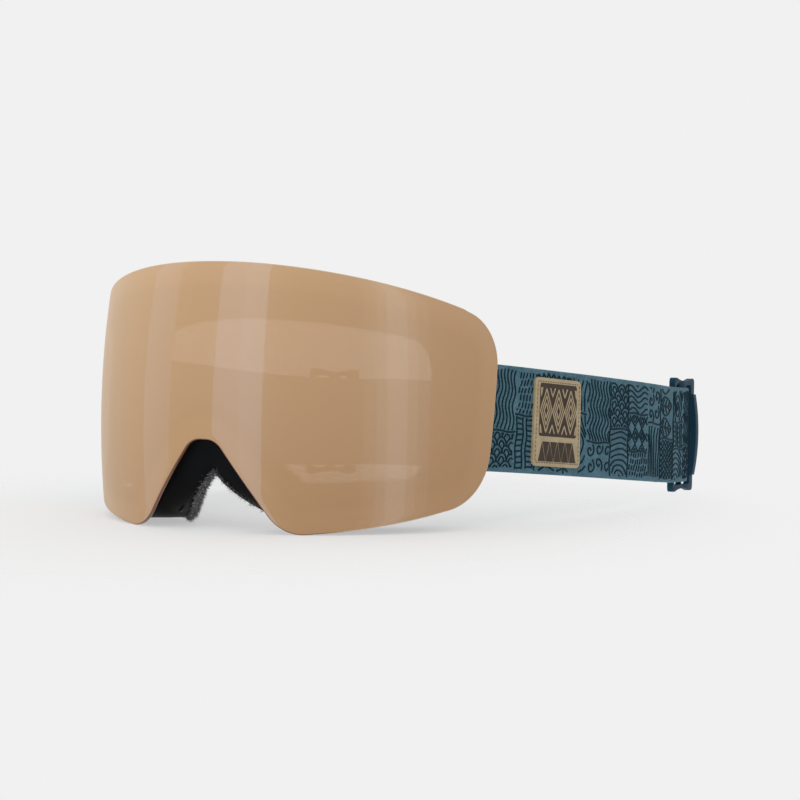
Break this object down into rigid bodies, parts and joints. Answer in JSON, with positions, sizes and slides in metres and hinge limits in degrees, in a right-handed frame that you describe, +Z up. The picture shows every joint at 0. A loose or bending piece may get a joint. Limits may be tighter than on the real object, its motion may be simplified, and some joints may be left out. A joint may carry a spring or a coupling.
{
  "type": "snow goggles",
  "caption": "Frameless snow goggles with a toric double lens on magnets, layered face foam, and a wide adjustable strap with two sliders.",
  "frame": {"origin": "middle of the outline on the floor, under the goggles standing on the lens's two lower lobes and the sliders' rear ends", "axes": "+Z up, the lens faces -Y, +X is the wearer's left side"},
  "size_m": [0.2008, 0.2716, 0.1027],
  "materials": {
    "lens_tan": "glossy, with a tan mirror coating",
    "gasket": "matt",
    "lens_inner": "clear and glossy",
    "hard_plastic": "satin",
    "magnet": "plated",
    "frame_soft": "matt and slightly soft",
    "foam_dark": "open-cell foam",
    "foam_grey": "open-cell foam",
    "fleece": "brushed fleece",
    "steel": "brushed",
    "webbing": "woven, with raised lines",
    "silicone": "matt",
    "patch": "smooth, with a stitched edge",
    "slider_navy": "satin"
  },
  "bodies": {
    "goggles": {"frame_body": "frame_soft", "frame_magnets": "magnet", "foam_base": "foam_dark", "foam_core": "foam_grey", "fleece_face": "fleece", "vent_foam_top": "foam_dark", "vent_foam_low_left": "foam_dark", "vent_foam_low_right": "foam_dark", "outrigger_left": "hard_plastic", "outrigger_right": "hard_plastic", "strap_bar_left": "steel", "strap_bar_right": "steel", "outrigger_pins": "steel", "strap_left": "webbing", "strap_right": "webbing", "strap_back": "webbing", "strap_grip": "silicone", "strap_patch": "patch"},
    "lens_unit": {"outer_lens": "lens_tan", "lens_gasket": "gasket", "inner_lens": "lens_inner", "lens_carrier": "hard_plastic", "lens_magnets": "magnet"},
    "slider_l": {"slider_left": "slider_navy"},
    "slider_r": {"slider_right": "slider_navy"}
  },
  "joints": [
    {"name": "lens_release", "type": "slide", "parent": "goggles", "child": "lens_unit", "axis": [0, -1, 0], "range_m": [0, 0.05]},
    {"name": "slider_travel_left", "type": "slide", "parent": "goggles", "child": "slider_l", "axis": [0.1561, -0.9858, 0.0611], "range_m": [0, 0.03], "deforming": ["strap_left"]},
    {"name": "slider_travel_right", "type": "slide", "parent": "goggles", "child": "slider_r", "axis": [-0.1561, -0.9858, 0.0611], "range_m": [0, 0.03], "deforming": ["strap_right"]}
  ]
}
